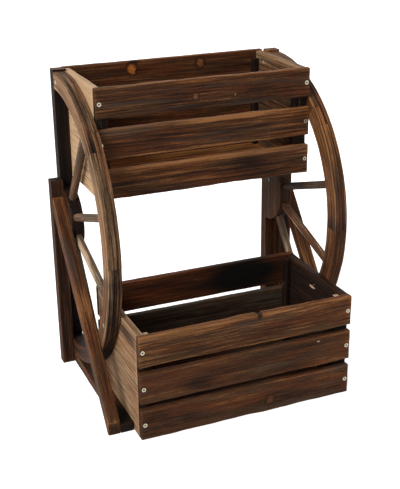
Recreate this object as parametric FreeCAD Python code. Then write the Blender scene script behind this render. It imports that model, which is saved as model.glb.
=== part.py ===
import FreeCAD, Part
import math
import os

# Flower cart stand of burnt fir: a lower planter box on the ground in front, and an upper planter box held
# behind it between two half wheels. Each half wheel has an upright post at its back and two legs outside it.
# Millimetres. X runs along the slats, the front faces -Y, and Z is up from the ground.
# The origin is on the ground, under the middle of the whole stand.

V = FreeCAD.Vector
ALONG_X, ALONG_Y, ALONG_Z = V(1, 0, 0), V(0, 1, 0), V(0, 0, 1)

# Both planter boxes
board_length = 430.0            # slats, from end to end
slat_thickness = 13.0
slats_per_wall = 3
end_panel_thickness = 15.0
end_panel_drop = 2.0            # top of an end panel below the top of the slats
corner_post_width = 12.0        # along the slats
corner_post_depth = 16.0
floor_board_thickness = 12.0
floor_board_gap = 6.0           # lets water out between the two floor boards
edge_round = 1.0                # sanded long edges of every board

# Lower planter box
lower_box_depth = 246.0
lower_slat_width = 63.0
lower_slat_gap = 10.5
lower_corner_post_drop = 6.0    # corner posts end this far below the top of the slats

# Upper planter box
upper_box_depth = 220.0
upper_slat_width = 59.0
upper_slat_gap = 16.5
upper_corner_post_drop = 16.0
upper_box_setback = 186.0       # its front behind the lower box's front
upper_box_drop = 2.0            # its top below the tops of the posts

# Half wheels, posts and base rails, all in one layer against the boxes' ends
wheel_thickness = 26.0
wheel_radius = 295.0
felloe_width = 33.0             # of the rim, measured along a radius
felloes_per_wheel = 4
lap_length = 40.0               # of the half-lap joints, along the rim's outer edge
tenon_length = 24.0             # of the middle joint's hidden tenon
tenon_width = 14.0
tenon_thickness = 10.0
hub_radius = 68.0
spoke_diameter = 16.0
spokes_per_wheel = 4
spoke_socket_depth = 14.0
spoke_clearance = 0.15          # round a spoke, and at its ends
post_depth = 22.0
post_rise = 4.0                 # above the top of the rim
post_inset = 18.0               # back of a post in front of the upper box's back
rail_height = 18.0
base_setback = 41.0             # front of the rails behind the lower box's front

# Legs, in a second layer outside the wheels
leg_thickness = 24.0
leg_width = 22.0
rear_leg_height = 400.0
toe_height = 25.0               # upright cut at the foot of a front leg
left_toe_setback = 0.0          # of a front leg, behind the front of its rail
left_leg_drop = 32.0            # top of a front leg below the top of its rear leg
right_toe_setback = 60.0        # the right front leg was cut shorter
right_leg_drop = 73.0

# Wood screws
screw_head_diameter = 8.0
screw_head_height = 2.4
screw_shank_diameter = 4.0
screw_tip_length = 6.0
screw_tip_diameter = 0.6
screw_clearance = 0.1           # round a shank
recess_length = 4.4
recess_width = 1.1
recess_depth = 1.4
short_screw_length = 35.0
middle_screw_length = 45.0
long_screw_length = 50.0
rim_screw_offset = 15.0         # upper rim screw in front of the post
rim_screw_drop = 24.0           # lower rim screw below the lower box's top
screw_stagger = 8.0             # keeps crossing screws apart
hub_screw_spacing = 60.0
box_screw_inset = 32.0          # of the screws through the upper corner posts, from the post's ends

# For cutting shapes, which reach past what they cut, and for edges that count as parallel
overcut = 1.0
tolerance = 0.001

# Places that follow from the sizes above
box_end = board_length / 2
panel_inside = box_end - end_panel_thickness
wheel_outside = box_end + wheel_thickness
leg_outside = wheel_outside + leg_thickness
total_depth = upper_box_setback + upper_box_depth
lower_front = -total_depth / 2
upper_front = lower_front + upper_box_setback
upper_back = upper_front + upper_box_depth
lower_box_height = slats_per_wall * lower_slat_width + (slats_per_wall - 1) * lower_slat_gap
upper_box_height = slats_per_wall * upper_slat_width + (slats_per_wall - 1) * upper_slat_gap
post_back = upper_back - post_inset
post_front = post_back - post_depth
wheel_centre_height = rail_height + wheel_radius
post_top = wheel_centre_height + wheel_radius + post_rise
upper_box_bottom = post_top - upper_box_drop - upper_box_height
base_front = lower_front + base_setback
leg_front = post_front - leg_width
rim_inner_radius = wheel_radius - felloe_width
rim_middle_radius = wheel_radius - felloe_width / 2
wheel_middle = (box_end + wheel_outside) / 2
leg_middle = (wheel_outside + leg_outside) / 2


def block(x_low, x_high, y_low, y_high, z_low, z_high):
    return Part.makeBox(x_high - x_low, y_high - y_low, z_high - z_low, V(x_low, y_low, z_low))


def rounded(board, direction):
    """Round the straight edges of a board that run along a direction."""
    edges = []
    for edge in board.Edges:
        run = edge.Vertexes[-1].Point - edge.Vertexes[0].Point
        if run.cross(direction).Length < tolerance:
            edges.append(edge)
    return board.makeFillet(edge_round, edges)


def mirrored(shape):
    return shape.mirror(V(0, 0, 0), ALONG_X)


def both_sides(pieces, name, right):
    pieces[f"{name}_left"] = mirrored(right)
    pieces[f"{name}_right"] = right


# Screws: a countersunk head with a cross recess, a plain shank and a point.

def turned_to(shape, start, direction):
    shape.Placement = FreeCAD.Placement(start, FreeCAD.Rotation(ALONG_Z, direction))
    return shape


def screw(start, direction, length):
    """A screw whose flush head is at start, and which points along direction."""
    shank_radius = screw_shank_diameter / 2
    head = Part.makeCone(screw_head_diameter / 2, shank_radius, screw_head_height)
    shank = Part.makeCylinder(shank_radius, length - screw_head_height - screw_tip_length,
                              V(0, 0, screw_head_height))
    tip = Part.makeCone(shank_radius, screw_tip_diameter / 2, screw_tip_length,
                        V(0, 0, length - screw_tip_length))
    body = head.fuse([shank, tip]).removeSplitter()
    long_half, wide_half = recess_length / 2, recess_width / 2
    cross = block(-long_half, long_half, -wide_half, wide_half, 0, recess_depth)
    cross = cross.fuse(block(-wide_half, wide_half, -long_half, long_half, 0, recess_depth))
    return turned_to(body.cut(cross), start, direction)


def screw_hole(start, direction, length):
    """What a screw takes out of the wood: its countersink, and a bore just wider than its shank."""
    sink = Part.makeCone(screw_head_diameter / 2, screw_shank_diameter / 2, screw_head_height)
    bore = Part.makeCylinder(screw_shank_diameter / 2 + screw_clearance, length + screw_clearance)
    return turned_to(sink.fuse(bore), start, direction)


# Planter boxes: slats in front and behind, numbered from the bottom up, end panels between them, corner posts
# inside, and a floor of two boards.

def box_wood(name, front, bottom, depth, height, slat_width, slat_gap, post_drop):
    pieces = {}
    back = front + depth
    inner_front, inner_back = front + slat_thickness, back - slat_thickness
    floor_top = bottom + floor_board_thickness
    for place, y_low in (("front", front), ("back", inner_back)):
        for row in range(slats_per_wall):
            low = bottom + row * (slat_width + slat_gap)
            slat = block(-box_end, box_end, y_low, y_low + slat_thickness, low, low + slat_width)
            pieces[f"{name}_{place}_slat_{row + 1}"] = rounded(slat, ALONG_X)
    middle = (inner_front + inner_back) / 2
    for place, y_low, y_high in (("front", inner_front, middle - floor_board_gap / 2),
                                 ("back", middle + floor_board_gap / 2, inner_back)):
        board = block(-panel_inside, panel_inside, y_low, y_high, bottom, floor_top)
        pieces[f"{name}_floor_board_{place}"] = rounded(board, ALONG_X)
    panel = block(panel_inside, box_end, inner_front, inner_back, bottom, bottom + height - end_panel_drop)
    both_sides(pieces, f"{name}_end_panel", rounded(panel, ALONG_Y))
    for place, y_low in (("front", inner_front), ("back", inner_back - corner_post_depth)):
        post = block(panel_inside - corner_post_width, panel_inside, y_low, y_low + corner_post_depth,
                     floor_top, bottom + height - post_drop)
        both_sides(pieces, f"{name}_corner_post_{place}", rounded(post, ALONG_Z))
    return pieces


def box_slat_screws(front, bottom, depth, slat_width, slat_gap):
    """One screw through each end of each slat, into the edge of the end panel."""
    places = []
    x = panel_inside + end_panel_thickness / 2
    for row in range(slats_per_wall):
        z = bottom + row * (slat_width + slat_gap) + slat_width / 2
        places.append((V(x, front, z), ALONG_Y, short_screw_length))
        places.append((V(x, front + depth, z), -ALONG_Y, short_screw_length))
    return places


def box_floor_screws(front, bottom, depth):
    """One screw up through the floor into the foot of each corner post."""
    x = panel_inside - corner_post_width / 2
    inset = slat_thickness + corner_post_depth / 2
    return [(V(x, y, bottom), ALONG_Z, short_screw_length) for y in (front + inset, front + depth - inset)]


# Side frames. Everything is made for the right side and mirrored for the left; only the front legs differ.

def wheel_point(radius, angle):
    """Y and Z on the wheel. The angle is in degrees, from straight forward, up being positive."""
    turn = math.radians(angle)
    return post_front - radius * math.cos(turn), wheel_centre_height + radius * math.sin(turn)


def rim_sector(low_angle, high_angle, x_low, x_high, inner, outer):
    """A piece of a ring between two angles, as thick as from x_low to x_high."""
    def at(radius, angle):
        y, z = wheel_point(radius, angle)
        return V(x_low, y, z)
    middle_angle = (low_angle + high_angle) / 2
    edges = [
        Part.Arc(at(outer, low_angle), at(outer, middle_angle), at(outer, high_angle)).toShape(),
        Part.makeLine(at(outer, high_angle), at(inner, high_angle)),
        Part.Arc(at(inner, high_angle), at(inner, middle_angle), at(inner, low_angle)).toShape(),
        Part.makeLine(at(inner, low_angle), at(outer, low_angle)),
    ]
    return Part.Face(Part.Wire(edges)).extrude(V(x_high - x_low, 0, 0))


def rounded_rim(sector):
    curved = [edge for edge in sector.Edges if isinstance(edge.Curve, Part.Circle)]
    return sector.makeFillet(edge_round, curved)


def felloes():
    """The rim in equal pieces from the top down, joined by half laps, and at the middle by a hidden tenon."""
    step = 180.0 / felloes_per_wheel
    lap = math.degrees(lap_length / 2 / wheel_radius)
    tenon_reach = math.degrees(tenon_length / 2 / rim_middle_radius)
    tenon_inner, tenon_outer = rim_middle_radius - tenon_width / 2, rim_middle_radius + tenon_width / 2
    tenon_low, tenon_high = wheel_middle - tenon_thickness / 2, wheel_middle + tenon_thickness / 2
    tenon = rim_sector(-tenon_reach, tenon_reach, tenon_low, tenon_high, tenon_inner, tenon_outer)
    made = []
    for number in range(felloes_per_wheel):
        high = 90.0 - number * step
        low = high - step
        top_lap = lap if 0 < number and abs(high) > step / 2 else 0
        bottom_lap = lap if number < felloes_per_wheel - 1 and abs(low) > step / 2 else 0
        piece = rounded_rim(rim_sector(low - bottom_lap, high + top_lap, box_end, wheel_outside,
                                       rim_inner_radius, wheel_radius))
        cut_inner, cut_outer = rim_inner_radius - overcut, wheel_radius + overcut
        if top_lap:
            piece = piece.cut(rim_sector(high - top_lap, high + 2 * top_lap,
                                         wheel_middle, wheel_outside + overcut, cut_inner, cut_outer))
        if bottom_lap:
            piece = piece.cut(rim_sector(low - 2 * bottom_lap, low + bottom_lap,
                                         box_end - overcut, wheel_middle, cut_inner, cut_outer))
        if abs(low) < step / 2:
            piece = piece.fuse(tenon).removeSplitter()
        elif abs(high) < step / 2:
            piece = piece.cut(tenon)
        made.append(piece)
    return made


def hub():
    """Half a disc, flat against the post."""
    top = V(box_end, post_front, wheel_centre_height + hub_radius)
    front = V(box_end, post_front - hub_radius, wheel_centre_height)
    bottom = V(box_end, post_front, wheel_centre_height - hub_radius)
    outline = Part.Wire([Part.Arc(top, front, bottom).toShape(), Part.makeLine(bottom, top)])
    return rounded_rim(Part.Face(outline).extrude(V(wheel_thickness, 0, 0)))


def spoke_rod(angle, radius, inner, outer):
    y_start, z_start = wheel_point(inner, angle)
    y_end, z_end = wheel_point(outer, angle)
    run = V(0, y_end - y_start, z_end - z_start)
    return Part.makeCylinder(radius, run.Length, V(wheel_middle, y_start, z_start), run)


def spoke_angles():
    """Spokes split the half circle into equal sectors, from the top down."""
    sector = 180.0 / (spokes_per_wheel + 1)
    return [90.0 - sector * (number + 1) for number in range(spokes_per_wheel)]


def spoke_sockets():
    inner = hub_radius - spoke_socket_depth
    outer = rim_inner_radius + spoke_socket_depth
    return [spoke_rod(angle, spoke_diameter / 2 + spoke_clearance, inner, outer) for angle in spoke_angles()]


def front_leg(toe_setback, drop):
    """A slanted leg on the right side: an upright cut at the toe, and another where it meets the rear leg."""
    toe = base_front + toe_setback
    toe_top = V(wheel_outside, toe, toe_height)
    head = V(wheel_outside, leg_front, rear_leg_height - drop)
    run = (head - toe_top).normalize()
    across = V(0, run.z, -run.y) * leg_width
    slope = run.z / run.y
    under = toe_top + across
    heel = V(wheel_outside, under.y - under.z / slope, 0)
    throat = V(wheel_outside, leg_front, under.z + (leg_front - under.y) * slope)
    foot = V(wheel_outside, toe, 0)
    outline = Part.makePolygon([foot, heel, throat, head, toe_top, foot])
    return rounded(Part.Face(outline).extrude(V(leg_thickness, 0, 0)), run)


def frame_wood():
    pieces = {}
    post = block(box_end, wheel_outside, post_front, post_back, rail_height, post_top)
    both_sides(pieces, "post", rounded(post, ALONG_Z))
    rail = block(box_end, wheel_outside, base_front, post_back, 0, rail_height)
    both_sides(pieces, "base_rail", rounded(rail, ALONG_Y))
    rear_leg = block(wheel_outside, leg_outside, leg_front, post_front, 0, rear_leg_height)
    both_sides(pieces, "rear_leg", rounded(rear_leg, ALONG_Z))
    pieces["front_leg_left"] = mirrored(front_leg(left_toe_setback, left_leg_drop))
    pieces["front_leg_right"] = front_leg(right_toe_setback, right_leg_drop)
    sockets = spoke_sockets()
    both_sides(pieces, "hub", hub().cut(sockets))
    for number, felloe in enumerate(felloes(), 1):
        both_sides(pieces, f"felloe_{number}", felloe.cut(sockets))
    inner = hub_radius - spoke_socket_depth + spoke_clearance
    outer = rim_inner_radius + spoke_socket_depth - spoke_clearance
    for number, angle in enumerate(spoke_angles(), 1):
        both_sides(pieces, f"spoke_{number}", spoke_rod(angle, spoke_diameter / 2, inner, outer))
    return pieces


def box_to_wheel_screws():
    """Rim to end panels from outside, and back corner posts to the rim and the wheel's post from inside."""
    upper_y = post_front - rim_screw_offset
    upper_z = wheel_centre_height + math.sqrt(rim_middle_radius ** 2 - rim_screw_offset ** 2)
    lower_z = lower_box_height - rim_screw_drop
    lower_y = post_front - math.sqrt(rim_middle_radius ** 2 - (wheel_centre_height - lower_z) ** 2)
    places = [(V(wheel_outside, upper_y, upper_z), -ALONG_X, middle_screw_length),
              (V(wheel_outside, lower_y, lower_z), -ALONG_X, middle_screw_length)]
    corner_y = lower_front + lower_box_depth - slat_thickness - corner_post_depth / 2
    corner_z = wheel_centre_height - math.sqrt(rim_middle_radius ** 2 - (post_front - corner_y) ** 2)
    shared_y = (upper_back - slat_thickness - corner_post_depth + post_back) / 2
    low = upper_box_bottom + floor_board_thickness + box_screw_inset
    high = upper_box_bottom + upper_box_height - upper_corner_post_drop - box_screw_inset
    for y, z in ((corner_y, corner_z), (shared_y, low), (shared_y, high)):
        places.append((V(panel_inside - corner_post_width, y, z), ALONG_X, long_screw_length))
    return places


def wheel_screws():
    """Post to hub and rim ends from behind, and rail to post from below."""
    rim_end = rim_middle_radius - screw_stagger
    places = []
    for offset in (rim_end, hub_screw_spacing / 2, -hub_screw_spacing / 2, -rim_end):
        start = V(wheel_middle, post_back, wheel_centre_height + offset)
        places.append((start, -ALONG_Y, long_screw_length))
    places.append((V(wheel_middle, (post_front + post_back) / 2, 0), ALONG_Z, short_screw_length))
    return places


def leg_screws(toe_setback, drop):
    """Hub and rail to the legs from inside, and rear leg to the top of the front leg from behind."""
    leg_y = (leg_front + post_front) / 2
    toe_y = base_front + toe_setback + screw_head_diameter
    rail_z = rail_height / 2
    hub_z = wheel_centre_height + hub_screw_spacing / 2 - screw_stagger
    head_z = rear_leg_height - drop - leg_width
    return [(V(box_end, leg_y, hub_z), ALONG_X, middle_screw_length),
            (V(box_end, leg_y, rail_z), ALONG_X, middle_screw_length),
            (V(box_end, toe_y, rail_z), ALONG_X, middle_screw_length),
            (V(leg_middle, post_front, head_z), -ALONG_Y, short_screw_length)]


def at_left(places):
    return [(V(-start.x, start.y, start.z), V(-run.x, run.y, run.z), length) for start, run, length in places]


def at_both_sides(places):
    return places + at_left(places)


def screw_groups():
    lower = (lower_front, 0, lower_box_depth)
    upper = (upper_front, upper_box_bottom, upper_box_depth)
    left_leg = leg_screws(left_toe_setback, left_leg_drop)
    right_leg = leg_screws(right_toe_setback, right_leg_drop)
    return {
        "lower_slat_screws": at_both_sides(box_slat_screws(*lower, lower_slat_width, lower_slat_gap)),
        "upper_slat_screws": at_both_sides(box_slat_screws(*upper, upper_slat_width, upper_slat_gap)),
        "floor_screws": at_both_sides(box_floor_screws(*lower) + box_floor_screws(*upper)),
        "box_to_wheel_screws": at_both_sides(box_to_wheel_screws()),
        "side_frame_screws": at_both_sides(wheel_screws()) + at_left(left_leg) + right_leg,
    }


def with_holes(piece, holes):
    for hole in holes:
        if piece.BoundBox.intersect(hole.BoundBox):
            piece = piece.cut(hole)
    return piece


wood = {}
wood.update(box_wood("lower", lower_front, 0, lower_box_depth, lower_box_height,
                     lower_slat_width, lower_slat_gap, lower_corner_post_drop))
wood.update(box_wood("upper", upper_front, upper_box_bottom, upper_box_depth, upper_box_height,
                     upper_slat_width, upper_slat_gap, upper_corner_post_drop))
wood.update(frame_wood())

groups = {}
holes = []
for group, places in screw_groups().items():
    groups[group] = Part.makeCompound([screw(*place) for place in places])
    holes += [screw_hole(*place) for place in places]

os.makedirs("parts", exist_ok=True)
for name, piece in wood.items():
    with_holes(piece, holes).exportStep(f"parts/{name}.step")
for name, group in groups.items():
    group.exportStep(f"parts/{name}.step")
print(len(wood) + len(groups), "nodes,", round(2 * leg_outside, 1), "x", round(total_depth, 1), "x",
      round(post_top, 1), "mm")
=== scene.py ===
import math
import bmesh
import bpy
from mathutils import Matrix, Vector, noise


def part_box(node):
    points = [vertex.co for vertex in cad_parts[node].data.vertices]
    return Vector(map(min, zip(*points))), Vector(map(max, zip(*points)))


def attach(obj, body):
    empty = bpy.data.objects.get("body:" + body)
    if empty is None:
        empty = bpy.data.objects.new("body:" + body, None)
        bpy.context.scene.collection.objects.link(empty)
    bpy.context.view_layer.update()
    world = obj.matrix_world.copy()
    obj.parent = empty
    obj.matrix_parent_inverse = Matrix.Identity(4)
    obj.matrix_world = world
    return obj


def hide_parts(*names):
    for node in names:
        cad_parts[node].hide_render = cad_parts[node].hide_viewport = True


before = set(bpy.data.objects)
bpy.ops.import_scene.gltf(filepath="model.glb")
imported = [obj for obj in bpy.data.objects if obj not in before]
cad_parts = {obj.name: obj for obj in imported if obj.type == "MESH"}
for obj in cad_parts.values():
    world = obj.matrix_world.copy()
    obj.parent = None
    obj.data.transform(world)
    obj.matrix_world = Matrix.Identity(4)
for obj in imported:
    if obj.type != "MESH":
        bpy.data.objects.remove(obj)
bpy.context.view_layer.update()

# The end panels of the two planter boxes: wide solid fir boards, the left ones burnt only lightly. They close
# the ends of the boxes, and the slats are screwed to their edges.

MM = 0.001
X, Y, Z = 0, 1, 2
TOLERANCE = 0.001 * MM
CREASE_ANGLE = math.radians(55)      # sharper edges aren't shaded round
AMOUNTS = ("edge_wear_and_highlight", "cut", "burn_and_top_highlight")    # how far its edge is lightened, by rubbing and by a painted highlight, how freshly sawn it is, and how burnt it is, where below 0 is a painted highlight on a slat's top
WEAR_AND_HIGHLIGHT_REACH = 2.2 * MM                # how far in from an edge the lightening reaches, rubbed wood and painted highlight alike
END_SKIN, TOP_SKIN = 0.2 * MM, 1.0 * MM
SINK_RADIUS, SINK_DEPTH, SINK_SLOPE = 4.7 * MM, 2.6 * MM, 1.6


def steps(length, step, fine=()):
    """Places along a length: close together at both ends and round each fine place, and else a step apart."""
    end_steps, first = [0.3 * MM, 0.8 * MM], 1.6 * MM
    fine_step, fine_count = 0.8, 7
    inner = length - 2 * first
    count = max(1, round(inner / step))
    even = [first + inner * i / count for i in range(count + 1)]
    close = [place + i * fine_step * MM for place in fine for i in range(-fine_count, fine_count + 1)]
    even = [place for place in even if all(abs(place - other) > fine_step / 2 * MM for other in close)]
    close = [place for place in close if first < place < length - first]
    return sorted({*end_steps, *even, *close, *(length - place for place in end_steps)})


def cut_across(bm, axis, places):
    along = Matrix.Identity(3)[axis]
    for place in places:
        bmesh.ops.bisect_plane(bm, geom=bm.verts[:] + bm.edges[:] + bm.faces[:], dist=TOLERANCE,
                               plane_co=along * place, plane_no=along)


def block(size, cuts):
    """A block with a corner at the origin, cut right through at the places given for each of its sides."""
    bm = bmesh.new()
    from_corner = Matrix.Diagonal((*size, 1)) @ Matrix.Translation((0.5, 0.5, 0.5))
    bmesh.ops.create_cube(bm, size=1.0, matrix=from_corner)
    for axis, places in enumerate(cuts):
        cut_across(bm, axis, places)
    return bm


def weathered(name, bm, place):
    """Puts every point where place says, keeps its AMOUNTS, and makes an object of the block."""
    layers = [bm.verts.layers.float.new(kind) for kind in AMOUNTS]
    for vertex in bm.verts:
        vertex.co, amounts = place(*vertex.co)
        for layer, amount in zip(layers, amounts):
            vertex[layer] = amount
    bmesh.ops.recalc_face_normals(bm, faces=bm.faces)
    if bm.calc_volume(signed=True) < 0:
        bmesh.ops.reverse_faces(bm, faces=bm.faces)
    mesh = bpy.data.meshes.new(name)
    bm.to_mesh(mesh)
    bm.free()
    mesh.shade_smooth()
    mesh.set_sharp_from_angle(angle=CREASE_ANGLE)
    made = bpy.data.objects.new(name, mesh)
    bpy.context.scene.collection.objects.link(made)
    return made


def stands_for(made, node, material):
    made.data.materials.append(material)
    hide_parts(node)
    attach(made, "root")


def wander(seed, *place):
    """Smooth noise from 0 to 1, in which each seed has a region of its own."""
    x, y, z = (list(place) + [0, 0])[:3]
    return min(1.0, max(0.0, 0.5 + 1.1 * noise.noise(Vector((x + 17.3 * seed, y + 5.1 * seed, z)))))


def softened(point, size, radius):
    """Moves a point of a block's skin onto rounded edges, and says how near an edge it is."""
    core = Vector(min(max(p, radius), s - radius) for p, s in zip(point, size))
    out = point - core
    if out.length > radius:
        point = core + out.normalized() * radius
    gaps = sorted(min(p, s - p) for p, s in zip(point, size))
    return point, math.exp(-max(0.0, gaps[1]) / WEAR_AND_HIGHLIGHT_REACH)


def sawn(seed, size, sinks=(), rough=0.7, soft=1.0, near_edge_wear_and_highlight=1.0, top_burn_and_highlight=0.0, chips=(),
         start=None, end=None):
    """Where the points of a board's skin go. A wire brush has rounded its long edges, as soft says, its faces
    wander, as rough says, and the saw has left its ends ragged. Each point keeps how near an edge it is, which
    lightens the wood there: partly rubbed wood and partly a painted highlight. near_edge_wear_and_highlight is
    the share of that on the near edges, which on an upright board are the lower ones and catch less light, and
    top_burn_and_highlight is added to how burnt the far edge's skin is: above 0 it is darker, and below 0 it
    is a painted highlight. Sinks are countersinks at (along, across, side), and chips are dents in the far
    edge at (millimetres from the middle, reach, depth). Where the ends are slanted, start and end say where
    each is at a distance across."""
    length, width, thickness = size

    def place(u, v, w):
        radius = soft * (0.9 + 1.1 * wander(seed, u / (40 * MM), 3.0)) * MM
        point, wear_and_highlight = softened(Vector((u, v, w)), size, min(radius, thickness / 2.2))
        at_end = u < END_SKIN or u > length - END_SKIN
        u, v, w = point
        side = 0.0 if v < width / 2 else 40.0
        waves = 0.4 * wander(seed, u / (30 * MM), side) + 0.6 * wander(seed, u / (80 * MM), side + 9)
        dent = rough * MM * waves + soft * 0.45 * MM * wander(seed + 3, u / (9 * MM), side) * wear_and_highlight
        for middle, reach, depth in chips:
            dent += depth * MM * math.exp(-(((u - length / 2) / MM - middle) / reach) ** 2) * (side > 0)
        v += dent * (1 - 2 * v / width)
        hollow = soft * (0.15 + 0.5 * rough * wander(seed + 5, u / (70 * MM), v / (25 * MM))) * MM
        w += hollow * (1 - 2 * w / thickness)
        if at_end:
            inward = 0.5 * MM * wander(seed + 7, v / (2.5 * MM), w / (4 * MM), u)
            u += inward if u < length / 2 else -inward
        for along, across, outer in sinks:
            reach = math.hypot(u - along, v - across)
            if reach < SINK_RADIUS and (w > thickness / 2) == outer:
                dip = min(SINK_DEPTH, (SINK_RADIUS - reach) * SINK_SLOPE)
                w += -dip if outer else dip
        if start:
            low, high = start(v), end(v)
            u = low + u / length * (high - low)
        # The near edges get only a share of the edge lightening. The lightening is partly a painted highlight,
        # and on upright boards the near edges are the lower ones, which catch less light.
        wear_and_highlight *= 1.0 if v > width / 2 else near_edge_wear_and_highlight
        # The far edge's skin gets the top amount: above 0 it is burnt darker, and below 0 it is a painted
        # highlight.
        return Vector((u, v, w)), (wear_and_highlight, float(at_end), top_burn_and_highlight * (v > width - dent - TOP_SKIN))
    return place


class Value:
    """A shader socket that takes part in arithmetic."""

    def __init__(self, tree, socket=None):
        self.tree, self.socket = tree, socket

    def into(self, node, socket):
        self.tree.links.new(self.socket, node.inputs[socket])

    def node(self, kind, inputs, output=0, **settings):
        made = self.tree.nodes.new("ShaderNode" + kind)
        for key, value in settings.items():
            setattr(made, key, value)
        for key, value in inputs.items():
            if isinstance(value, Value):
                value.into(made, key)
            else:
                made.inputs[key].default_value = value
        return Value(self.tree, made.outputs[output])

    def math(self, operation, *values):
        return self.node("Math", dict(enumerate(values)), operation=operation)

    def __add__(self, other):
        return self.math("ADD", self, other)

    def __sub__(self, other):
        return self.math("SUBTRACT", self, other)

    def __rsub__(self, other):
        return self.math("SUBTRACT", other, self)

    def __mul__(self, other):
        return self.math("MULTIPLY", self, other)

    def __truediv__(self, other):
        return self.math("DIVIDE", self, other)

    def __rtruediv__(self, other):
        return self.math("DIVIDE", other, self)

    def __pow__(self, other):
        return self.math("POWER", self, other)

    __radd__, __rmul__ = __add__, __mul__

    def falloff(self):
        """1 at 0, and towards 0 on both sides."""
        return self.math("EXPONENT", self * self * -1)

    def rise(self, low, high):
        """From 0 at low to 1 at high, smoothly."""
        return self.node("MapRange", {"Value": self, "From Min": low, "From Max": high},
                         interpolation_type="SMOOTHSTEP")

    def scaled(self, *factors):
        return self.node("VectorMath", {0: self, 1: factors}, operation="MULTIPLY")

    def noise(self, *lengths, detail=2.0, roughness=0.5):
        """Noise from about -1 to 1, whose grains are as long as the lengths say."""
        grains = self.node("TexNoise", {"Vector": self.scaled(*(1 / length for length in lengths)),
                                        "Scale": 1.0, "Detail": detail, "Roughness": roughness})
        return (grains - 0.5) * 4

    def blend(self, first, second):
        """The first colour where this is 0, and the second where it is 1."""
        first_socket, second_socket, result = 6, 7, 2
        mixed = self.node("Mix", {"Factor": self}, output=result, data_type="RGBA", clamp_factor=True)
        for socket, value in ((first_socket, first), (second_socket, second)):
            if isinstance(value, Value):
                value.into(mixed.socket.node, socket)
            else:
                mixed.socket.node.inputs[socket].default_value = (*value, 1)
        return mixed


def blank(name):
    """A new material, a value of its tree to start from, and its main shader."""
    material = bpy.data.materials.new(name)
    material.use_nodes = True
    return material, Value(material.node_tree), material.node_tree.nodes["Principled BSDF"]


GOLD, BROWN, UMBER = (0.30, 0.130, 0.047), (0.090, 0.035, 0.0145), (0.024, 0.010, 0.0055)
TAN, SOFT_BROWN, RAW = (0.40, 0.245, 0.135), (0.155, 0.078, 0.039), (0.50, 0.34, 0.23)
CHAR, ASH = (0.0055, 0.0042, 0.0038), (0.055, 0.040, 0.031)
COOLER, WARMER = (0.85, 1.05, 1.1), (1.15, 0.95, 0.8)    # red, green and blue are changed this much


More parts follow.
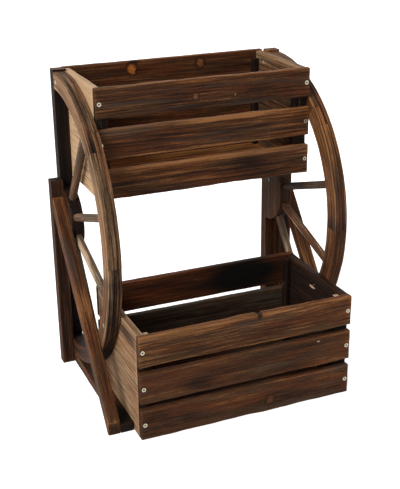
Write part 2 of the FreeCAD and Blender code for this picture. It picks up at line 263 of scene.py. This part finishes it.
def burnt_wood(name, box, along, face, seed, pale=GOLD, mid=BROWN, dark=UMBER, heat=0.55, rings=4.2,
               late_burn=1.1, grain_burn=0.3, smoke_burn=0.16, pith=(70, 45), lean=0.03, sway=14, wave=1.2,
               knots=(), patches=(), scars=(), turn=0.0, ends=CHAR, end_mix=0.6, ash=0.3, axle=None):
    """Fir that was burnt with a torch and then brushed: the soft wood between the rings is dark, the edges are
    rubbed back to brown and partly lightened by a painted highlight, and char stays in patches. along and face
    are the axes of the grain and of the wide face's normal, which turn then leans over. heat is how burnt it
    is:
    0 pale, 0.5 mid, 1 dark, 1.5 char, and the burns are how much the rings, the fibres and the smoke change
    that.
    Lengths are in millimetres from the middle, along and across the grain. rings is how far apart they are,
    sway and wave how far they stray, pith how far the log's middle lies across and behind, and lean how much
    that changes along the board. Round an axle, the grain is bent with the piece. A knot is (along, across,
    radius, colour), a patch (along, across, reach along, reach across, added heat), and a scar, where raw wood
    shows, is a patch without the heat. Some long thin patches along the slats' edges are painted light and
    shade."""
    material, start, shader = blank(name)
    grain = Matrix.Rotation(turn, 3, "X") @ Vector(along)
    normal = Matrix.Rotation(turn, 3, "X") @ Vector(face)
    turned = Matrix((grain, normal.cross(grain), normal))
    middle = turned @ ((box[0] + box[1]) / 2) / MM
    mapped = start.node("Mapping", {
        "Vector": start.node("TexCoord", {}, output="Object"), "Scale": (1 / MM,) * 3,
        "Rotation": turned.to_euler(), "Location": -middle})
    x, y, z = (mapped.node("SeparateXYZ", {0: mapped}, output=axis) for axis in (X, Y, Z))
    if axle:
        far_x, far_y, _ = turned @ axle / MM - middle
        y = far_y - ((x - far_x) ** 2 + (y - far_y) ** 2) ** 0.5 * math.copysign(1, far_y)
        mapped = x.node("CombineXYZ", {0: x, 1: y, 2: z})
    own_place = (seed * 731.0, seed * 57.0, seed * 91.0)
    own = mapped.node("VectorMath", {0: mapped, 1: own_place}, operation="ADD")
    wear_and_highlight, cut, burn_and_top_highlight = (start.node("Attribute", {}, output="Fac", attribute_name=kind) for kind in AMOUNTS)

    def near(spot_x, spot_y, reach_x, reach_y):
        return (((x - spot_x) / reach_x) ** 2 + ((y - spot_y) / reach_y) ** 2) ** 0.5

    push, spots = 0.0, []
    for knot_x, knot_y, size, knot_colour in knots:
        push = push + near(knot_x, knot_y, size * 2.4, size).falloff() * (size * 1.2)
        spots.append((near(knot_x, knot_y, size * 0.9, size) + own.noise(5, 4, 4) * 0.2, knot_colour))
    radius = ((y + pith[0]) ** 2 + (z + pith[1] + x * lean) ** 2) ** 0.5
    radius = radius + own.noise(330, 70, 70, detail=1.0) * (sway * 0.5) + own.noise(60, 12, 12) * wave + push
    turns = (radius / rings + own.noise(900, 22, 22, detail=1.0) * 0.4).math("FRACT")
    late = turns.rise(0.3, 0.7) - turns.rise(0.85, 0.99)

    fibre = own.noise(22, 1.5, 1.5, detail=3.0, roughness=0.65)
    grit = own.noise(4, 2, 2)
    lines = own.noise(110, 2.6, 2.6, detail=1.0)
    streak = own.noise(240, 6.5, 6.5)
    smoke = own.noise(130, 24, 24, detail=3.0, roughness=0.55)
    tone = heat + (late - 0.4) * late_burn + lines * grain_burn + fibre * 0.2 + streak * grain_burn * 0.6
    # The burnt amount each point keeps darkens it. On the front slats' top faces it is below 0, and lightens
    # them as a painted highlight.
    tone = tone + smoke * smoke_burn + grit * 0.1 + burn_and_top_highlight * (1 + lines * 0.3 + streak * 0.2)
    # Near an edge the wood is lighter: partly rubbed back, and partly a painted highlight.
    tone = tone - wear_and_highlight ** 0.5 * (0.36 + streak * 0.3 + smoke * 0.25)
    for spot_x, spot_y, reach_x, reach_y, strength in patches:
        edge = near(spot_x, spot_y, reach_x, reach_y) + smoke * 0.16 + streak * 0.12
        tone = tone + edge.falloff() * strength

    cool, warm = ([part * change for part, change in zip(mid, changes)] for changes in (COOLER, WARMER))
    mid = own.noise(120, 26, 26).rise(-0.7, 0.7).blend(cool, warm)
    colour = (tone * 2 - 1).blend((tone * 2).blend(pale, mid), dark)
    colour = (own.noise(170, 16, 16).rise(0.1, 0.9) * ash).blend(colour, ASH)
    colour = (tone * 2 - 2).blend(colour, CHAR)
    for spot, knot_colour in spots:
        heart = (own.noise(5, 3, 3).rise(0.1, 1.0) * 0.7).blend(knot_colour, UMBER)
        colour = (1 - spot.rise(0.35, 0.95)).blend(colour, heart)
        colour = (spot.rise(0.45, 0.8) * (1 - spot.rise(0.85, 1.2)) * 0.75).blend(colour, UMBER)
    for spot_x, spot_y, reach_x, reach_y in scars:
        edge = near(spot_x, spot_y, reach_x, reach_y) + own.noise(6, 2, 2) * 0.25
        colour = (1 - edge.rise(0.7, 1.0)).blend(colour, RAW)

    height = fibre * 0.2 + grit * 0.15 - late - lines * 0.3
    (cut * end_mix).blend(colour, ends).into(shader, "Base Color")
    (0.66 + fibre * 0.05 + late * 0.06).into(shader, "Roughness")
    start.node("Bump", {"Height": height, "Distance": 0.6 * MM, "Strength": 0.9}).into(shader, "Normal")
    shader.inputs["Specular IOR Level"].default_value = 0.08
    return material


def board(node, along, face, seed, sinks=(), rough=0.7, soft=1.0, chips=(), top_burn_and_highlight=0.0, **look):
    """A straight board that stands for a node. along is the axis of its length, and face the one that its wide
    face looks along. Sinks are (place, side) of the screws through that face."""
    low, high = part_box(node)
    across = X + Y + Z - along - face
    order = (along, across, face)
    size = [high[axis] - low[axis] for axis in order]
    local = [(place[along] - low[along], place[across] - low[across], outer) for place, outer in sinks]
    bm = block(size, [steps(size[0], 5 * MM, [sink[0] for sink in local]),
                      steps(size[1], 3.5 * MM, sorted({round(sink[1], 5) for sink in local})),
                      steps(size[2], 4 * MM)])
    shape = sawn(seed, size, local, rough, soft=soft, near_edge_wear_and_highlight=1.0 if along == Z else 0.25, top_burn_and_highlight=top_burn_and_highlight,
                 chips=chips)

    def place(u, v, w):
        point, amounts = shape(u, v, w)
        row = Vector(low)
        for axis, value in zip(order, point):
            row[axis] += value
        return row, amounts
    axes = (Vector((1, 0, 0)), Vector((0, 1, 0)), Vector((0, 0, 1)))
    stands_for(weathered("wood_" + node, bm, place), node,
               burnt_wood("burnt_" + node, (low, high), axes[along], axes[face], seed, **look))


box_seed = {"lower": 10, "upper": 40}
panel_looks = {
    ("lower", "left"): dict(pale=TAN, mid=SOFT_BROWN, heat=0.28, lean=0.16, rings=8, late_burn=0.6, patches=[
        (-60, 85, 60, 14, 0.4), (70, -60, 30, 40, 0.4), (-40, -70, 30, 14, -0.3)]),
    ("lower", "right"): dict(heat=1.15, lean=0.16, rings=7, scars=[(4, 74, 13, 3)]),
    ("upper", "left"): dict(pale=(0.54, 0.35, 0.20), mid=SOFT_BROWN, heat=-0.1, lean=0.2, rings=8,
                            late_burn=0.8, patches=[(-20, -60, 40, 30, 0.3)]),
    ("upper", "right"): dict(pale=TAN, mid=SOFT_BROWN, heat=0.45, lean=0.16, rings=7, scars=[(60, 86, 9, 3)],
                             patches=[(0, -30, 200, 70, 0.45)]),
}
for box in ("lower", "upper"):
    for side, number in (("left", 7), ("right", 10)):
        board(f"{box}_end_panel_{side}", Y, X, box_seed[box] + number, pith=(30, 40), end_mix=0.95,
              **panel_looks[box, side])

# The corner posts: thin fir battens, burnt nearly black, that stand upright in the four corners of each box.
# Screws hold their feet from under the floor, and the tops of the front ones are still raw wood.

corner_numbers = {("front", "left"): 8, ("back", "left"): 9, ("front", "right"): 11, ("back", "right"): 12}
for box in ("lower", "upper"):
    for (place, side), number in corner_numbers.items():
        board(f"{box}_corner_post_{place}_{side}", Z, X, box_seed[box] + number, rough=0.5, heat=1.4,
              ends=RAW if place == "front" else UMBER, end_mix=1.0)

# The floors: two fir boards in each box, with a gap between them that lets water out, dark in the lower box
# and a warm brown in the upper one. Screws go up through them into the corner posts.

floor_looks = {
    "lower": dict(heat=0.9),
    "upper": dict(pale=(0.46, 0.18, 0.055), mid=(0.19, 0.068, 0.021), heat=0.4, grain_burn=0.6, ash=0.0),
}
for box in ("lower", "upper"):
    for place, number in (("front", 13), ("back", 14)):
        board(f"{box}_floor_board_{place}", X, Z, box_seed[box] + number, pith=(20, 60), **floor_looks[box])

# The slats: brushed fir boards with open grain, three in front and three behind, with air between them. Each
# is held at both ends by one countersunk screw in the edge of an end panel. Rows are numbered from below.

# The front slats' top faces are made slightly lighter here: a painted highlight.
front_look = dict(rough=2.4, rings=5.4, late_burn=1.75, grain_burn=0.36, top_burn_and_highlight=-0.16, ash=0.5)
back_looks = {
    "lower": dict(pale=(0.24, 0.085, 0.033), mid=(0.075, 0.022, 0.009), heat=0.7, ash=0.1),
    "upper": dict(pale=(0.30, 0.115, 0.04), mid=(0.10, 0.034, 0.013), heat=0.6, ash=0.15),
}
# In these looks, some long thin patches lie about 25 mm from the middle, across the slat. The lighter ones at
# minus 24 to 26, along a slat's top edge, are painted highlights. The darker ones at plus 24, along its bottom
# edge, are painted shade.
slat_looks = {
    ("lower", "front", 3): dict(
        heat=0.44, pith=(-130, 70), rings=4.4, late_burn=0.75, smoke_burn=0.24, top_burn_and_highlight=0.0,
        chips=[(21, 4, 4.0)], knots=[(21, -26, 7, UMBER)],
        patches=[(-110, 12, 60, 14, 0.25), (60, 5, 50, 14, 0.28), (-60, -26, 150, 5, -0.2)]),
    ("lower", "front", 2): dict(
        heat=0.68, pith=(-120, 50), rings=5, late_burn=0.5, grain_burn=0.2, smoke_burn=0.26, top_burn_and_highlight=0.1,
        scars=[(146, -21, 4, 1.4)],
        patches=[(-101, 13, 26, 10, 0.5), (20, -6, 90, 14, 0.2), (120, -20, 60, 8, 0.1)]),
    ("lower", "front", 1): dict(
        heat=0.72, pith=(-110, 55), rings=5, late_burn=0.5, grain_burn=0.2, smoke_burn=0.28, top_burn_and_highlight=0.1,
        knots=[(45, 8, 13, (0.10, 0.036, 0.014))],
        patches=[(-120, -4, 60, 12, 0.15), (150, 0, 40, 20, -0.1)]),
    ("lower", "back", 3): dict(
        heat=0.54, pith=(60, 60), patches=[(95, -3, 66, 30, 2.0), (10, -12, 40, 10, -0.3)]),
    ("lower", "back", 2): dict(mid=(0.06, 0.040, 0.028), ash=1.2),
    ("upper", "front", 3): dict(
        heat=0.54, pith=(-110, 60), knots=[(-23, 4, 9, (0.15, 0.068, 0.032)), (57, 8, 4, (0.2, 0.09, 0.035))],
        patches=[(0, 24, 200, 6, 0.35), (-60, -4, 60, 9, 0.2), (100, 6, 50, 12, 0.25)]),
    ("upper", "front", 2): dict(
        heat=0.5, pith=(-120, 50),
        patches=[(-80, -4, 60, 14, 0.3), (0, 24, 200, 5, -0.2), (60, -24, 110, 5, -0.55)]),
    ("upper", "front", 1): dict(
        heat=0.54, pith=(-100, 60),
        patches=[(88, -8, 40, 16, 0.45), (20, -25, 170, 5, -0.55), (0, 24, 200, 7, 0.2)]),
    ("upper", "back", 3): dict(
        pith=(60, 60), patches=[(-70, -27, 9, 4, 0.8)],
        knots=[(-74, -13, 15, (0.45, 0.14, 0.028)), (74, -13, 13, (0.22, 0.075, 0.024))]),
}
for box in ("lower", "upper"):
    panels = [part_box(f"{box}_end_panel_{side}") for side in ("left", "right")]
    screw_x = [(low.x + high.x) / 2 for low, high in panels]
    rows = (("front", False, front_look, 0), ("back", True, back_looks[box], 3))
    for place, outer, look, number in rows:
        for row in (1, 2, 3):
            low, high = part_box(f"{box}_{place}_slat_{row}")
            sinks = [(Vector((x, 0, (low.z + high.z) / 2)), outer) for x in screw_x]
            board(f"{box}_{place}_slat_{row}", X, Y, box_seed[box] + number + row, sinks,
                  **{**look, **slat_looks.get((box, place, row), {})})

# The rims of the two half wheels: four fir felloes each, numbered from the top, most of them darker on their
# curved edges. Half laps and a hidden tenon join them, and screws hold them to the end panels.

hub_low, hub_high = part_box("hub_right")
axle = Vector((0, hub_high.y, (hub_low.z + hub_high.z) / 2))
rim_radius = axle.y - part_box("felloe_2_right")[0].y
felloe_width = 33 * MM
felloe_angle = math.pi / 4
half_lap = 20 * MM
lap_angle = half_lap / rim_radius
lead = 10 * MM                  # a felloe's ends stay square, as if it ran on by this much
curved_skin = 1.2 * MM
tip_reach = 26 * MM
upper_end, fade = 24 * MM, 4 * MM


def on_wheel(radius, angle):
    return axle.y - radius * math.cos(angle), axle.z + radius * math.sin(angle)


def felloe(side, number, seed, edge_burn=0.3, tip_burn=0.0, low_burn=0.0, **look):
    """One piece of a rim, made straight and then bent. edge_burn is how much darker its curved faces are,
    tip_burn its lower end, and low_burn all but its upper end."""
    node = f"felloe_{number}_{side}"
    low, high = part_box(node)
    thickness = high.x - low.x
    top = math.pi / 2 - (number - 1) * felloe_angle
    bottom = top - felloe_angle
    top_lap = lap_angle if number in (2, 4) else 0.0
    bottom_lap = lap_angle if number in (1, 3) else 0.0
    first, last = bottom - bottom_lap, top + top_lap
    length = rim_radius * (last - first)
    mark = 2 * rim_radius * lap_angle if bottom_lap else length - 2 * rim_radius * lap_angle
    outer = thickness if side == "right" else 0.0
    (tip, butt), kept = ((0.0, length), outer) if bottom_lap else ((length, 0.0), thickness - outer)
    outline = [(tip, kept), (butt, kept), (butt, thickness - kept), (mark, thickness - kept),
               (mark, thickness / 2), (tip, thickness / 2)]
    bm = bmesh.new()
    flank = bm.faces.new([bm.verts.new((u, 0, w)) for u, w in outline])
    grown = bmesh.ops.extrude_face_region(bm, geom=[flank])["geom"]
    far_side = [part for part in grown if isinstance(part, bmesh.types.BMVert)]
    bmesh.ops.translate(bm, vec=(0, felloe_width, 0), verts=far_side)
    cut_across(bm, X, steps(length, 6 * MM, [mark]))
    cut_across(bm, Y, steps(felloe_width, 3 * MM))
    cut_across(bm, Z, sorted({*steps(thickness, 3.25 * MM), thickness / 2}))

    def place(u, v, w):
        radius = (0.8 + 0.9 * wander(seed, u / (40 * MM))) * MM
        size = Vector((length + 2 * lead, felloe_width, thickness))
        (_, across, through), wear_and_highlight = softened(Vector((u + lead, v, w)), size, radius)
        curved = 1.0 if min(v, felloe_width - v) < curved_skin else 0.0
        dent = 0.6 * MM * wander(seed, u / (30 * MM), 40.0 * (v > felloe_width / 2))
        across += dent * (1 - 2 * across / felloe_width)
        hollow = (0.1 + 0.3 * wander(seed + 2, u / (50 * MM), v / (20 * MM))) * MM
        through += hollow * (1 - 2 * w / thickness)
        y, z = on_wheel(rim_radius - felloe_width + across, first + u / rim_radius)
        cut = float(min(abs(u - end) for end in (0.0, mark, length)) < 0.1 * MM)
        burn_and_top_highlight = edge_burn * curved + tip_burn * math.exp(-(u / tip_reach) ** 2)
        burn_and_top_highlight += low_burn / (1 + math.exp((u - length + upper_end) / fade))
        return Vector((low.x + through, y, z)), (wear_and_highlight, cut, burn_and_top_highlight)
    material = burnt_wood("burnt_" + node, (low, high), (0, 0, 1), (1, 0, 0), seed, turn=-(first + last) / 2,
                          axle=axle, **look)
    stands_for(weathered("wood_" + node, bm, place), node, material)


wheel_seed = {"left": 80, "right": 89}
felloe_looks = {
    ("left", 1): dict(pale=TAN, mid=SOFT_BROWN, heat=0.32, edge_burn=0.35, tip_burn=0.4),
    ("left", 2): dict(pale=TAN, mid=SOFT_BROWN, heat=0.33, edge_burn=0.35),
    ("left", 3): dict(pale=TAN, mid=SOFT_BROWN, heat=0.27, edge_burn=0.45, low_burn=0.35, tip_burn=0.3),
    ("left", 4): dict(heat=0.9, edge_burn=0.4),
    ("right", 1): dict(heat=0.5, grain_burn=0.45, edge_burn=0.0),
    ("right", 2): dict(heat=0.43, grain_burn=0.5, edge_burn=0.05, tip_burn=0.4),
    ("right", 3): dict(heat=0.66, grain_burn=0.45, edge_burn=0.1),
    ("right", 4): dict(heat=0.9, edge_burn=0.2),
}
for (side, number), look in felloe_looks.items():
    felloe(side, number, wheel_seed[side] + number, rings=4.5, pith=(60, 120), late_burn=0.9, **look)

# The hubs: half a fir disc in the middle of each wheel, sawn with the grain upright and burnt. The flat back
# is screwed to the post, and the spokes go into the round edge.

hub_rounding = 1.2 * MM
back_gap = 0.05 * MM


def hub(side, seed, **look):
    node = f"hub_{side}"
    low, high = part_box(node)
    radius, thickness = axle.y - low.y, high.x - low.x
    bm = bmesh.new()
    upright = Matrix.Translation((thickness / 2, 0, 0)) @ Matrix.Rotation(math.pi / 2, 4, "Y")
    bmesh.ops.create_cone(bm, cap_ends=True, segments=120, radius1=radius, radius2=radius, depth=thickness,
                          matrix=upright)
    bmesh.ops.bisect_plane(bm, geom=bm.verts[:] + bm.edges[:] + bm.faces[:], dist=TOLERANCE,
                           plane_co=(0, 0, 0), plane_no=(0, 1, 0), clear_outer=True)
    bmesh.ops.holes_fill(bm, edges=bm.edges)
    cut_across(bm, X, steps(thickness, 3.5 * MM))

    def place(w, y, z):
        edge = min(w, thickness - w)
        inset = hub_rounding * max(0.0, 1 - edge / hub_rounding) ** 2
        angle = math.atan2(z, -y)
        dent = 0.5 * MM * wander(seed, angle * 4, w / (10 * MM))
        y, z = on_wheel(radius - inset - dent, angle)
        point = Vector((low.x + w + 0.2 * MM * (1 - 2 * w / thickness), min(y, axle.y - back_gap), z))
        return point, (math.exp(-edge / (2 * MM)), 0.0, 0.1)
    material = burnt_wood("burnt_" + node, (low, high), (0, 0, 1), (1, 0, 0), seed, rings=5, **look)
    stands_for(weathered("wood_" + node, bm, place), node, material)


for side, look in (("left", dict(heat=1.15, ash=0.5)), ("right", dict(heat=0.7, ash=1.0))):
    hub(side, wheel_seed[side] + 5, **look)

# The spokes: four hardwood dowels in each wheel, numbered from the top, turned on a lathe, stained and partly
# bare. Their ends go into the hub and the rim, and they split the half circle evenly.

spoke_spacing = 36
dowel_look = dict(pale=(0.48, 0.34, 0.22), mid=(0.14, 0.082, 0.052), dark=(0.07, 0.04, 0.026), late_burn=0.2,
                  ash=0.6)
spoke_looks = {
    ("left", 1): dict(heat=0.65),
    ("left", 3): dict(patches=[(-25, 1, 55, 6, -2.2)]),
    ("right", 2): dict(heat=1.1),
    ("right", 3): dict(mid=BROWN, heat=0.6, patches=[(-40, 3, 50, 4, -0.5)]),
    ("right", 4): dict(heat=0.7, patches=[(0, -5, 60, 3, -0.9)]),
}


def spoke(side, number, seed, **look):
    node = f"spoke_{number}_{side}"
    low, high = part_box(node)
    angle = math.radians(90 - spoke_spacing * number)
    radius = (high.x - low.x) / 2
    run = Vector((0, -math.cos(angle), math.sin(angle)))
    length = (high.y - low.y - 2 * radius * abs(math.sin(angle))) / math.cos(angle)
    outward = run.cross(Vector((1, 0, 0)))
    bm = bmesh.new()
    bmesh.ops.create_cone(bm, cap_ends=True, segments=28, radius1=radius, radius2=radius, depth=length)
    count = round(length / (5 * MM))
    cut_across(bm, Z, [(i / count - 0.5) * length for i in range(1, count)])

    def place(x, y, along):
        dent = 0.25 * MM * wander(seed, along / (25 * MM), x / radius, y / radius)
        out = (Vector((1, 0, 0)) * x + outward * y) * (1 - dent / radius)
        return (low + high) / 2 + run * along + out, (0.0, 0.0, 0.0)
    material = burnt_wood("burnt_" + node, (low, high), (0, -1, 0), (1, 0, 0), seed, turn=-angle, **look)
    stands_for(weathered("wood_" + node, bm, place), node, material)


for side in ("left", "right"):
    for number in (1, 2, 3, 4):
        spoke(side, number, wheel_seed[side] + 5 + number,
              **{**dowel_look, **spoke_looks.get((side, number), {})})

# The side frames: an upright fir post behind each wheel, a rail on the ground under it, and an upright rear
# leg outside it. They are plain battens, and the posts and rear legs have straight, crisp edges.

frame_seed = {"left": 101, "right": 104}
post_looks = {
    "left": dict(heat=1.4, ash=0.8, ends=(0.12, 0.055, 0.028), end_mix=0.8, patches=[(-205, 0, 26, 20, -0.5)]),
    "right": dict(heat=0.65, ash=0.7, ends=BROWN, patches=[(290, 0, 16, 30, -0.3)]),
}
for side in ("left", "right"):
    seed = frame_seed[side]
    board(f"post_{side}", Z, X, seed, rough=0.0, soft=0.0, pith=(40, 60), **post_looks[side])
    board(f"base_rail_{side}", Y, X, seed + 1, heat=0.75, patches=[(-150, 0, 40, 30, 0.8)])
    board(f"rear_leg_{side}", Z, X, seed + 2, rough=0.0, soft=0.0, heat=0.95, rings=5)

# The front legs: fir boards that slant back from the ground to the rear legs, outside the rims. Both ends are
# cut upright, at the toe and where a leg meets the rear leg. The right one is shorter than the left.

toe_height = 25 * MM


def front_leg(side, seed, **look):
    """start and end are how far along the slant the ends' cuts are, at a distance across it."""
    node = f"front_leg_{side}"
    low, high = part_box(node)
    rear_low, rear_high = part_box(f"rear_leg_{side}")
    width, thickness = rear_high.y - rear_low.y, high.x - low.x
    toe = Vector((low.x, low.y, low.z + toe_height))
    head = Vector((low.x, high.y, high.z))
    length = (head - toe).length
    run = (head - toe).normalized()
    across = Vector((0, -run.z, run.y))

    def start(v):
        v = width - v
        return max(-run.z * v / run.y, (run.y * v - toe_height) / run.z)

    def end(v):
        return length - run.z * (width - v) / run.y
    size = (length, width, thickness)
    bm = block(size, [steps(length, 5 * MM), steps(width, 3 * MM), steps(thickness, 4 * MM)])
    shape = sawn(seed, size, start=start, end=end)
    origin = toe - across * width

    def place(u, v, w):
        point, amounts = shape(u, v, w)
        return origin + run * point.x + across * point.y + Vector((point.z, 0, 0)), amounts
    angle = math.atan2(run.z, run.y)
    material = burnt_wood("burnt_" + node, (low, high), (0, 1, 0), (1, 0, 0), seed, turn=angle, **look)
    stands_for(weathered("wood_" + node, bm, place), node, material)


for side, seed in (("left", 105), ("right", 106)):
    front_leg(side, seed, heat=0.52, rings=5.0, late_burn=1.3, pith=(-2, 22), lean=0.12, wave=2.5, sway=16,
              ash=0.7, patches=[(5, 0, 34, 20, -0.3), (105, 0, 50, 30, 0.15), (-120, 0, 60, 30, 0.15)])

# The screws: countersunk steel with a cross in the head. Those in the slats and rims are pale zinc, dulled by
# rain, with the middle of the head painted dark over the cross. This is partly grime and partly painted shade
# of the recess. Those in the side frames and up through the floors are blackened.

screw_before_post = 15 * MM     # of the upper rim screw
screw_below_box = 24 * MM       # of the lower rim screw, under the top of the lower box
far_away = 1000.0


def zinc(name, axis, spots, bright=(0.62, 0.57, 0.43), dulled=(0.33, 0.28, 0.19)):
    """spots are the heads' middles in the plane across the axis, in metres."""
    material, start, shader = blank(name)
    place = start.node("TexCoord", {}, output="Object").scaled(1 / MM, 1 / MM, 1 / MM)
    dull = place.noise(1.6, 1.6, 1.6, detail=3.0)
    first, second = (place.node("SeparateXYZ", {0: place}, output=other)
                     for other in (X, Y, Z) if other != axis)
    if axis == Y:
        first = first.math("ABSOLUTE", first)
    reach = far_away
    for one, two in spots:
        away = ((first - one / MM) ** 2 + (second - two / MM) ** 2) ** 0.5
        reach = away.math("MINIMUM", away, reach)
    # The middle of each head is painted dark: grime in the cross, and painted shade of its recess.
    dirt_and_recess_shade = (1 - (reach + dull * 0.3).rise(1.2, 2.3)) * 0.92
    dirt_and_recess_shade.blend(dull.rise(-0.4, 0.8).blend(bright, dulled), (0.05, 0.035, 0.025)).into(shader, "Base Color")
    (0.42 + dull * 0.08).into(shader, "Roughness")
    (0.7 - dirt_and_recess_shade * 0.7).into(shader, "Metallic")
    return material


def paint(group, material):
    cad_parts[group].data.materials.clear()
    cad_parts[group].data.materials.append(material)


for box in ("lower", "upper"):
    panel_low, panel_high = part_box(f"{box}_end_panel_right")
    rows = [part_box(f"{box}_front_slat_{row}") for row in (1, 2, 3)]
    paint(f"{box}_slat_screws", zinc(f"zinc_{box}_slats", Y, [
        ((panel_low.x + panel_high.x) / 2, (low.z + high.z) / 2) for low, high in rows]))
rim_middle = rim_radius - felloe_width / 2
upper_screw = axle.y - screw_before_post
lower_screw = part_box("lower_front_slat_3")[1].z - screw_below_box
paint("box_to_wheel_screws", zinc("zinc_rim", X, [
    (upper_screw, axle.z + math.sqrt(rim_middle ** 2 - (axle.y - upper_screw) ** 2)),
    (axle.y - math.sqrt(rim_middle ** 2 - (axle.z - lower_screw) ** 2), lower_screw)]))
for group in ("floor_screws", "side_frame_screws"):
    paint(group, zinc(f"black_{group}", Z, [], bright=(0.05, 0.045, 0.04), dulled=(0.025, 0.02, 0.016)))

# The studio: a pale floor that runs out to white and keeps the stand's shadow, a white surround, a broad soft
# light from the upper left in front, and a weaker one from behind on the right.

floor_size = 30.0
floor_drop = 0.5 * MM
surround = 0.35                 # how strongly the white surround lights the stand
floor_mesh = bpy.data.meshes.new("studio_floor")
bm = bmesh.new()
bmesh.ops.create_grid(bm, x_segments=2, y_segments=2, size=floor_size)
bm.to_mesh(floor_mesh)
bm.free()
floor = bpy.data.objects.new("studio_floor", floor_mesh)
bpy.context.scene.collection.objects.link(floor)
floor.location.z = -floor_drop


def background_rays(start):
    """1 for a ray that comes from the camera, or that a shiny or clear surface sends on, and else 0."""
    camera_ray, glossy_ray, clear_ray = (start.node("LightPath", {}, output=f"Is {kind} Ray")
                                         for kind in ("Camera", "Glossy", "Transmission"))
    return camera_ray.math("MAXIMUM", camera_ray, glossy_ray.math("MAXIMUM", glossy_ray, clear_ray))


floor_paint, start, shader = blank("floor_paint")
shader.inputs["Base Color"].default_value = (0.82, 0.82, 0.82, 1)
shader.inputs["Roughness"].default_value = 0.9
shader.inputs["Specular IOR Level"].default_value = 0.1
background_rays(start).blend((0, 0, 0), (0.76, 0.76, 0.76)).into(shader, "Emission Color")
shader.inputs["Emission Strength"].default_value = 1.0
floor_mesh.materials.append(floor_paint)

world = bpy.data.worlds.new("studio")
bpy.context.scene.world = world
world.use_nodes = True
background = world.node_tree.nodes["Background"]
background.inputs["Color"].default_value = (1, 1, 1, 1)
(surround + background_rays(Value(world.node_tree)) * (1 - surround)).into(background, "Strength")

suns = (("key", 2.7, 35, (-0.75, -0.36, 0.56)), ("fill", 1.0, 60, (0.62, 0.70, 0.35)))
for name, energy, spread, towards in suns:
    lamp = bpy.data.lights.new(name, "SUN")
    lamp.energy = energy
    lamp.angle = math.radians(spread)
    lamp_object = bpy.data.objects.new(name, lamp)
    lamp_object.rotation_euler = Vector(towards).to_track_quat("Z", "Y").to_euler()
    bpy.context.scene.collection.objects.link(lamp_object)

# The camera: the place, turn and lens that the photograph was taken from. They were fitted to the edges and
# corners of the stand in it.

camera_place = Vector((-0.6917, -1.6217, 0.9805))
camera_yaw = math.radians(22.769)
camera_pitch = math.radians(21.80)
camera_roll = math.radians(-0.686)
camera = bpy.data.cameras.new("camera")
camera.sensor_width = 36.0
camera.lens = 71.04
forward = Vector((math.sin(camera_yaw) * math.cos(camera_pitch), math.cos(camera_yaw) * math.cos(camera_pitch),
                  -math.sin(camera_pitch)))
level = Vector((math.cos(camera_yaw), -math.sin(camera_yaw), 0))
up = level.cross(forward)
right = level * math.cos(camera_roll) + up * math.sin(camera_roll)
up = up * math.cos(camera_roll) - level * math.sin(camera_roll)
camera_object = bpy.data.objects.new("camera", camera)
turned = Matrix((right, up, -forward)).transposed().to_4x4()
camera_object.matrix_world = Matrix.Translation(camera_place) @ turned
bpy.context.scene.collection.objects.link(camera_object)
bpy.context.scene.camera = camera_object

bpy.context.scene.view_settings.view_transform = "Standard"

bpy.context.view_layer.update()
